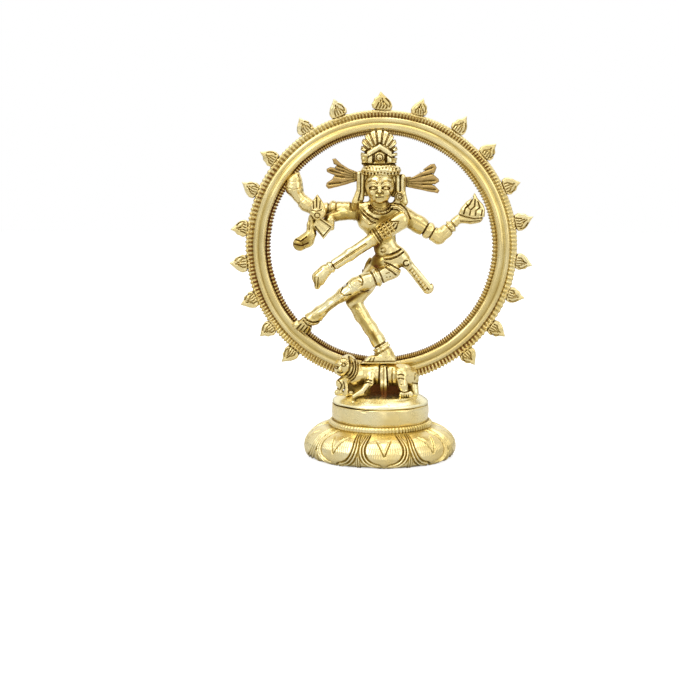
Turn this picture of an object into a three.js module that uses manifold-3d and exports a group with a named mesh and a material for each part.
// A brass Nataraja statue: a four-armed dancer inside a ring of flames, standing on a dwarf,
// a drum plinth and a lotus base. Millimetres, +Z up, the viewer looks along +Y, and the origin
// is the middle of the base's resting face.
import * as THREE from "three";
import { mergeVertices } from "three/addons/utils/BufferGeometryUtils.js";
import Module from "manifold-3d";

const wasm = await Module();
wasm.setup();

// ---- Driving dimensions ----
const HEIGHT = 100;
const FLAME_TIP_RADIUS = 42;
const RING_CENTRE_Z = HEIGHT - FLAME_TIP_RADIUS;
const RING_OUTER_RADIUS = 37.6;
const RING_INNER_RADIUS = 30.8;
const RING_BACK_Y = 4.4;
const RING_FRONT_Y = 0.8; // the front face of the ring's serrated borders
// Where the flames stand round the ring, clockwise from its top as the viewer sees them; they were
// set by hand and by eye, so their spacing is uneven.
const FLAME_DEGREES = [
  -140, -126, -112, -97, -82, -66.5, -51, -33, -17.5, 0, 15.5, 32.5, 48.5, 64, 80, 95.5, 110, 125, 141,
];
const PEG_RADIUS = 0.6;
const LOTUS_RADIUS = 21;
const LOTUS_TOP_Z = 8.4;
const COLLAR_TOP_Z = 9.9;
const DRUM_RADIUS = 13.3;
const DRUM_TOP_Z = 15;
const PLINTH_TOP_Z = 17.2;
const SOLE_Z = 26.6; // where the dancer's foot meets the dwarf's back
const BORE_RADIUS = 11.6; // the hollow inside the base castings
const GAP = 0.05; // brazing gap between neighbouring pieces
const ROUND_SIDES = 10;
const BODY_SIDES = 14;

// ---- Solids ----
function solidOf(geometry) {
  const bare = geometry.index ? geometry.toNonIndexed() : geometry.clone();
  for (const name of Object.keys(bare.attributes)) {
    if (name !== "position") bare.deleteAttribute(name);
  }
  const merged = mergeVertices(bare, 1e-4);
  const mesh = new wasm.Mesh({
    numProp: 3,
    vertProperties: merged.attributes.position.array,
    triVerts: new Uint32Array(merged.index.array),
  });
  return new wasm.Manifold(mesh);
}

function geometryOf(solid) {
  const mesh = solid.getMesh();
  const positions = new Float32Array(mesh.numVert * 3);
  for (let i = 0; i < mesh.numVert; i++) {
    positions.set(mesh.vertProperties.subarray(i * mesh.numProp, i * mesh.numProp + 3), i * 3);
  }
  const geometry = new THREE.BufferGeometry();
  geometry.setAttribute("position", new THREE.BufferAttribute(positions, 3));
  geometry.setIndex(new THREE.BufferAttribute(mesh.triVerts, 1));
  geometry.computeVertexNormals();
  return geometry;
}

const join = (...solids) => solids.reduce((all, one) => all.add(one));

function largestOf(solid) {
  return solid.decompose().sort((a, b) => b.volume() - a.volume())[0];
}

const vector = ([x, y, z]) => new THREE.Vector3(x, y, z);

// A round limb from a to b whose ends are domes of radius ra and rb.
function limb(a, b, ra, rb, grow = 0, sides = ROUND_SIDES) {
  const [start, end, r0, r1] = [vector(a), vector(b), ra + grow, rb + grow];
  const length = start.distanceTo(end);
  const profile = [];
  for (const [y, r, from, to] of [[0, r0, -90, 0], [length, r1, 0, 90]]) {
    for (let k = 0; k <= 2; k++) {
      const degrees = from + ((to - from) * k) / 2;
      const angle = THREE.MathUtils.degToRad(degrees);
      const onAxis = Math.abs(degrees) === 90;
      profile.push(new THREE.Vector2(onAxis ? 0 : r * Math.cos(angle), y + r * Math.sin(angle)));
    }
  }
  const geometry = new THREE.LatheGeometry(profile, sides);
  const axis = end.clone().sub(start).normalize();
  geometry.applyQuaternion(new THREE.Quaternion().setFromUnitVectors(new THREE.Vector3(0, 1, 0), axis));
  geometry.translate(...start);
  return solidOf(geometry);
}

function ellipsoid(centre, radii, grow = 0, sides = ROUND_SIDES) {
  const geometry = new THREE.SphereGeometry(1, sides, Math.round(sides * 0.6));
  geometry.scale(...radii.map((r) => r + grow)).translate(...centre);
  return solidOf(geometry);
}

// A flat piece: an outline of [x, z] points, from the plane y = back forwards by depth.
function plate(outline, back, depth, grow = 0) {
  const shape = new THREE.Shape(outline.map(([x, z]) => new THREE.Vector2(x, z)));
  const bevel = grow > 0 && { bevelSize: grow, bevelThickness: grow, bevelSegments: 1 };
  const geometry = new THREE.ExtrudeGeometry(shape, { depth, bevelEnabled: grow > 0, ...bevel });
  return solidOf(geometry.rotateX(Math.PI / 2).translate(0, back, 0));
}

function box(low, high, grow = 0) {
  const size = high.map((v, i) => v - low[i] + 2 * grow);
  const middle = high.map((v, i) => (v + low[i]) / 2);
  return solidOf(new THREE.BoxGeometry(...size).translate(...middle));
}

// A turned piece about the Z axis, from [radius, z] points.
function turned(points, sides) {
  const profile = points.map(([r, z]) => new THREE.Vector2(r, z));
  return solidOf(new THREE.LatheGeometry(profile, sides).rotateX(Math.PI / 2));
}

const closed = (points) => [...points, points[0]];

// ---- Base castings ----
const LOTUS_PETALS = 9;
const FIRST_PETAL_TURN = THREE.MathUtils.degToRad(4); // the front petal sits a little to the right
const LOTUS_OUTSIDE = [
  [18.6, 0], [19.7, 0.5], [LOTUS_RADIUS - 0.5, 2.2],
  [19.8, 4.2], [18.4, 6.2], [16.6, 7.8], [14.9, LOTUS_TOP_Z],
];
const LOTUS_INSIDE = [[BORE_RADIUS, LOTUS_TOP_Z], [12.6, 6.4], [15.8, 4], [16.8, 0]];

function petal(index) {
  const geometry = new THREE.SphereGeometry(1, 10, 6);
  geometry.scale(1.5, 5.2, 4.2);
  geometry.rotateY(THREE.MathUtils.degToRad(-24)); // leans in towards the drum
  geometry.translate(LOTUS_RADIUS - 2.7, 0, 3.6);
  geometry.rotateZ((index * 2 * Math.PI) / LOTUS_PETALS - Math.PI / 2 + FIRST_PETAL_TURN);
  return solidOf(geometry);
}

function lotusBase() {
  const shell = turned(closed([...LOTUS_OUTSIDE, ...LOTUS_INSIDE]), 40);
  const petals = join(...Array.from({ length: LOTUS_PETALS }, (_, i) => petal(i)));
  const wide = LOTUS_RADIUS + 2;
  const band = box([-wide, -wide, 0.4], [wide, wide, LOTUS_TOP_Z - 0.5]);
  const hollow = turned([[0, -1], [16.8, -1], ...[...LOTUS_INSIDE].reverse(), [BORE_RADIUS, 9], [0, 9]], 40);
  return shell.add(petals.intersect(band)).subtract(hollow);
}

function beadedCollar() {
  const teeth = 60;
  const outline = [];
  for (let i = 0; i < 2 * teeth; i++) {
    const angle = (i * Math.PI) / teeth;
    const r = i % 2 ? 14.7 : 14.1;
    outline.push(new THREE.Vector2(r * Math.cos(angle), r * Math.sin(angle)));
  }
  const shape = new THREE.Shape(outline);
  shape.holes.push(new THREE.Path().absarc(0, 0, BORE_RADIUS, 0, 2 * Math.PI, true));
  const depth = COLLAR_TOP_Z - LOTUS_TOP_Z;
  const geometry = new THREE.ExtrudeGeometry(shape, { depth, bevelEnabled: false, curveSegments: 40 });
  return solidOf(geometry.translate(0, 0, LOTUS_TOP_Z));
}

function plinthDrum() {
  const [low, high] = [COLLAR_TOP_Z + 0.4, DRUM_TOP_Z - 0.3];
  const wall = [[13.1, COLLAR_TOP_Z], [DRUM_RADIUS, low], [DRUM_RADIUS, high], [13, DRUM_TOP_Z]];
  return turned(closed([...wall, [BORE_RADIUS, DRUM_TOP_Z], [BORE_RADIUS, COLLAR_TOP_Z]]), 40);
}

function plinthTop() {
  const flange = [[0, DRUM_TOP_Z - 1], [BORE_RADIUS - GAP, DRUM_TOP_Z - 1], [BORE_RADIUS - GAP, DRUM_TOP_Z]];
  const rim = [[13, DRUM_TOP_Z], [DRUM_RADIUS, DRUM_TOP_Z + 0.3], [DRUM_RADIUS, DRUM_TOP_Z + 0.9]];
  const lid = [[12.7, PLINTH_TOP_Z - 0.5], [11.6, PLINTH_TOP_Z], [0, PLINTH_TOP_Z]];
  return turned([...flange, ...rim, ...lid], 40);
}

// ---- Ring of flames ----
const RING_PROFILE = [
  [RING_INNER_RADIUS, RING_BACK_Y], [RING_OUTER_RADIUS, RING_BACK_Y], [RING_OUTER_RADIUS, RING_FRONT_Y + 0.3],
  [36.3, RING_FRONT_Y], [36, 1.4], [35.6, 0.4], [34, -0.1], [32.4, 0.4], [32, 1.4],
  [31.7, RING_FRONT_Y], [RING_INNER_RADIUS, RING_FRONT_Y + 0.3],
];

function turnedRing(profile) {
  const points = closed(profile).reverse().map(([r, y]) => new THREE.Vector2(r, y));
  const geometry = new THREE.LatheGeometry(points, 60);
  return solidOf(geometry.translate(0, 0, RING_CENTRE_Z));
}

const FLAME_Y = 2.6;
const FLAME_HALF_OUTLINE = [[1.4, 0], [2.3, 0.9], [2.5, 1.7], [2, 2.6], [1.1, 3.4]];
const FLAME_HEIGHT = FLAME_TIP_RADIUS - RING_OUTER_RADIUS - GAP;

// A flame as it stands at the top of the ring, with the peg that drops into the ring's socket.
function topFlame() {
  const left = FLAME_HALF_OUTLINE.map(([x, z]) => [-x, z]).reverse();
  const outline = [...FLAME_HALF_OUTLINE, [0, FLAME_HEIGHT], ...left];
  const base = RING_OUTER_RADIUS + GAP;
  const leaf = plate(outline, FLAME_Y + 1.1, 2.2).translate([0, 0, base]);
  return leaf.add(peg(PEG_RADIUS, base - 1.5, base + 0.5));
}

function peg(radius, from, to) {
  const geometry = new THREE.CylinderGeometry(radius, radius, to - from, 8);
  return solidOf(geometry.rotateX(Math.PI / 2).translate(0, FLAME_Y, (from + to) / 2));
}

function aroundRing(solid, degrees) {
  return solid.rotate([0, degrees, 0]).translate([0, 0, RING_CENTRE_Z]);
}

function flameRing() {
  const socket = peg(PEG_RADIUS + GAP, RING_OUTER_RADIUS - 1.7, RING_OUTER_RADIUS + 1);
  let ring = turnedRing(RING_PROFILE);
  for (const degrees of FLAME_DEGREES) {
    ring = ring.subtract(aroundRing(socket, degrees));
  }
  return ring;
}

function grownRing(grow) {
  const [inner, outer] = [RING_INNER_RADIUS - grow, RING_OUTER_RADIUS + grow];
  const front = [[outer, 0.8], [35.8, 0.3], [34, -0.2], [32.2, 0.3], [inner, 0.8]];
  const back = [[inner, RING_BACK_Y], [outer, RING_BACK_Y]];
  return turnedRing([...back.map(([r, y]) => [r, y + grow]), ...front.map(([r, y]) => [r, y - grow])]);
}

// ---- Dancer and dwarf ----
// Joints of the two bodies, as [x, y, z].
const DWARF_Y = -3;
const HAIR_BACK_Y = 1.8;
const NECK = [-0.4, -1.3, 69.6];
const DRUM_ELBOW = [-16.8, 0.6, 67.6];
const DRUM_WRIST = [-22.4, 1.5, 71.8];
const BLESSING_ELBOW = [-13.3, -4.2, 64.8];
const CROSSING_ELBOW = [-1.6, -4.8, 59.9];
const CROSSING_WRIST = [-14.6, -5.4, 52.8];
const FLAME_ELBOW = [15.6, 0.5, 60.9];
const FLAME_WRIST = [20.1, 0.5, 64.9];
const RAISED_KNEE = [-8, -5, 48.1];
const RAISED_ANKLE = [-19.4, -2.4, 38.2];
const STANDING_KNEE = [-7.4, -1.6, 44.2];
const STANDING_ANKLE = [0.5, -2.8, 29.6];

// Outlines of the flat pieces, as [x, z].
const CROWN_OUTLINE = [
  [-4.4, 79.5], [3.6, 79.5], [4.6, 84.6], [3.7, 87.3], [1.6, 89.5],
  [-0.5, 90], [-2.6, 89.5], [-4.8, 87.3], [-5.6, 84.6],
];
const FLAME_HAND_OUTLINE = [
  [20, 64.6], [23, 64], [27, 64.7], [28.3, 66.8], [27.6, 70], [25.3, 73], [22.4, 70.4], [20.2, 67.3],
];
const PALM_OUTLINE = [
  [-16.2, 66.4], [-15.3, 68.6], [-15.8, 70.6], [-17.7, 72.6], [-19.4, 70.2], [-19.9, 68], [-19, 65.6],
];

// Each piece is a function of grow, which swells it for cutting its neighbours. A piece is cut
// by the pieces above it in this list.
const FIGURE = {
  plinth_top: (g) => (g ? box([-14, -14, 12], [14, 14, PLINTH_TOP_Z], g) : plinthTop()),
  flame_ring: (g) => (g ? grownRing(g) : flameRing()),
  ring_saddle: (g) => box([-7.5, 1.2, PLINTH_TOP_Z], [7.5, 3.9, 23], g),
  torso: (g) => join(
    ellipsoid([-0.5, -1.1, 65.4], [6.4, 2.8, 4.1], g, BODY_SIDES),
    ellipsoid([0.6, -1.1, 60], [3.7, 2.4, 5], g, BODY_SIDES),
    limb([-0.4, -1.2, 67], NECK, 2, 1.7, g)),
  head: (g) => join(
    ellipsoid([-0.4, -1.4, 75.6], [3.9, 3.4, 4.1], g, BODY_SIDES),
    limb([-0.4, -2, 74.6], [-0.4, -2.5, 71.6], 3, 1.5, g)),
  crown: (g) => join(
    ellipsoid([-0.4, -1.2, 79.2], [4.9, 3.6, 2.6], g, BODY_SIDES),
    plate(CROWN_OUTLINE, -0.5, 3.1, g)),
  left_hair_lock: (g) => limb([-5.7, -0.8, 78], [-6.1, -0.8, 71.2], 1, 1.1, g),
  right_hair_lock: (g) => join(
    limb([5.2, -0.8, 77.6], [5.2, -0.8, 72.6], 1.2, 1.2, g),
    limb([4.9, -2, 71.7], [4.9, -0.9, 71.7], 1.2, 1.2, g)),
  left_hair_fan: (g) => hairFan([-6.6, 77.2], [[-13.2, 82], [-14.2, 79.3], [-14.4, 77], [-14.3, 75.3]], g),
  right_hair_fan: (g) => hairFan([6.4, 76.3], [[13.2, 80.6], [14.9, 78.7], [15.4, 76.2], [15.2, 73.6]], g),
  waistcloth: (g) => ellipsoid([2.6, -1.1, 54.3], [6.6, 3, 3.7], g, BODY_SIDES),
  drum_upper_arm: (g) => limb([-5.4, 0.2, 67.2], DRUM_ELBOW, 2.6, 2, g),
  drum_forearm: (g) => limb(DRUM_ELBOW, DRUM_WRIST, 1.75, 1.6, g),
  hand_drum: (g) => limb([-23, 1.8, 73.6], [-22.3, 1.9, 77], 2, 1.7, g),
  flame_upper_arm: (g) => limb([5, 0.2, 67.2], FLAME_ELBOW, 2.6, 1.95, g),
  flame_forearm: (g) => limb(FLAME_ELBOW, FLAME_WRIST, 1.7, 1.3, g),
  flame_hand: (g) => plate(FLAME_HAND_OUTLINE, 1.8, 2.6, g),
  blessing_upper_arm: (g) => limb([-5.6, -2.4, 66.2], BLESSING_ELBOW, 2.2, 1.9, g),
  blessing_forearm: (g) => plate([[-17, 67.2], [-18.8, 64], [-16.4, 60.1], [-12.9, 63.6]], -3.4, 3.2, g),
  blessing_hand: (g) => plate(PALM_OUTLINE, -4.6, 2, g),
  serpent: (g) => join(
    limb([-19.3, -4.4, 65], [-19.4, -4.4, 61.2], 0.9, 1.1, g),
    limb([-19.4, -4.4, 61.2], [-23.4, -4.4, 58.6], 1.3, 1.5, g)),
  crossing_upper_arm: (g) => limb([5, -2.4, 66.6], CROSSING_ELBOW, 2.4, 2.1, g),
  crossing_forearm: (g) => limb(CROSSING_ELBOW, CROSSING_WRIST, 1.9, 1.5, g),
  crossing_hand: (g) => limb([-15.9, -5.5, 51.8], [-17.4, -5.6, 48], 1.9, 1.2, g),
  raised_thigh: (g) => limb([5, -2.6, 52.4], RAISED_KNEE, 2.8, 2.3, g),
  raised_shin: (g) => limb(RAISED_KNEE, RAISED_ANKLE, 2.1, 1.5, g),
  raised_foot: (g) => limb([-20.4, -2.1, 37], [-22.9, -1.6, 35.3], 1.5, 1.2, g),
  standing_thigh: (g) => limb([0.6, -0.4, 52.6], STANDING_KNEE, 2.7, 2.4, g),
  standing_shin: (g) => limb(STANDING_KNEE, STANDING_ANKLE, 2.35, 1.9, g),
  dwarf_body: (g) => join(
    limb([-6.4, DWARF_Y, 22.9], [6.2, DWARF_Y, 22.9], 3.4, 3.5, g, BODY_SIDES),
    box([-7, DWARF_Y, PLINTH_TOP_Z], [7.5, 0.4, 22], g))
    .subtract(box([-20, -20, SOLE_Z - 0.4 + g], [20, 20, 40])),
  standing_foot: (g) => ellipsoid([1, -3.7, 27.6], [3.3, 2.8, 1.9], g)
    .subtract(box([-9, -9, 20], [9, 9, SOLE_Z - g])),
  sash_end: (g) => plate([[6.6, 54.8], [11.8, 45.3], [14.4, 46.5], [10, 54.6]], -1, 1.5, g),
  dwarf_head: (g) => ellipsoid([-10.2, -4.4, 25.5], [2.6, 2.6, 3], g),
  dwarf_front_arm: (g) => join(
    limb([-2.6, -5.8, 23.6], [-2.8, -6.6, 21.6], 1.3, 1.2, g),
    limb([-2.8, -6.6, 21.6], [-6.8, -7.6, 18.2], 1.2, 0.95, g)),
  dwarf_near_leg: (g) => join(
    limb([5.2, -6, 23.4], [5.9, -6.8, 19], 1.9, 1.4, g),
    limb([5.9, -6.8, 18.4], [7.4, -7.4, 18.2], 1.1, 1, g)),
  dwarf_far_leg: (g) => limb([8.8, -2.6, 22.4], [9.3, -2.8, 19], 1.9, 1.7, g),
  dwarf_far_arm: (g) => limb([-10.6, -4.4, 21.2], [-9, -4.4, 18.8], 1.8, 1.5, g),
};

// Flat strands that fan out from a root, both given as [x, z].
function hairFan([x, z], tips, grow) {
  const strands = tips.map(([tipX, tipZ]) => {
    const across = new THREE.Vector2(z - tipZ, tipX - x).setLength(1);
    const side = (width) => [across.x * width, across.y * width];
    const [root, tip] = [side(0.5), side(0.9)];
    return plate([[x - root[0], z - root[1]], [tipX - tip[0], tipZ - tip[1]],
      [tipX + tip[0], tipZ + tip[1]], [x + root[0], z + root[1]]], HAIR_BACK_Y, 1.4, grow);
  });
  return join(...strands);
}

function cutByEarlier(names, index) {
  const make = FIGURE[names[index]];
  const own = make(0);
  const reach = own.boundingBox();
  const near = (other) => {
    const b = other.boundingBox();
    return [0, 1, 2].every((i) => b.min[i] < reach.max[i] && b.max[i] > reach.min[i]);
  };
  const cutters = names.slice(0, index).map((name) => FIGURE[name](GAP)).filter(near);
  return largestOf(cutters.reduce((rest, cutter) => rest.subtract(cutter), own));
}

// ---- Assembly ----
const polished = new THREE.MeshStandardMaterial({ color: 0xd9b45c, roughness: 0.28, metalness: 1 });
const dark = new THREE.MeshStandardMaterial({ color: 0x9a7236, roughness: 0.5, metalness: 1 });
const statue = new THREE.Group();

function place(name, solid, material = polished) {
  const mesh = new THREE.Mesh(geometryOf(solid), material);
  mesh.name = name;
  statue.add(mesh);
}

place("lotus_base", lotusBase());
place("beaded_collar", beadedCollar());
place("plinth_drum", plinthDrum());
const names = Object.keys(FIGURE);
names.forEach((name, index) => {
  const aged = name.endsWith("hair_fan") || name === "ring_saddle";
  place(name, index < 2 ? FIGURE[name](0) : cutByEarlier(names, index), aged ? dark : polished);
});
FLAME_DEGREES.forEach((degrees, index) => {
  const number = String(index + 1).padStart(2, "0");
  place("flame_" + number, aroundRing(topFlame(), degrees));
});

export default statue;
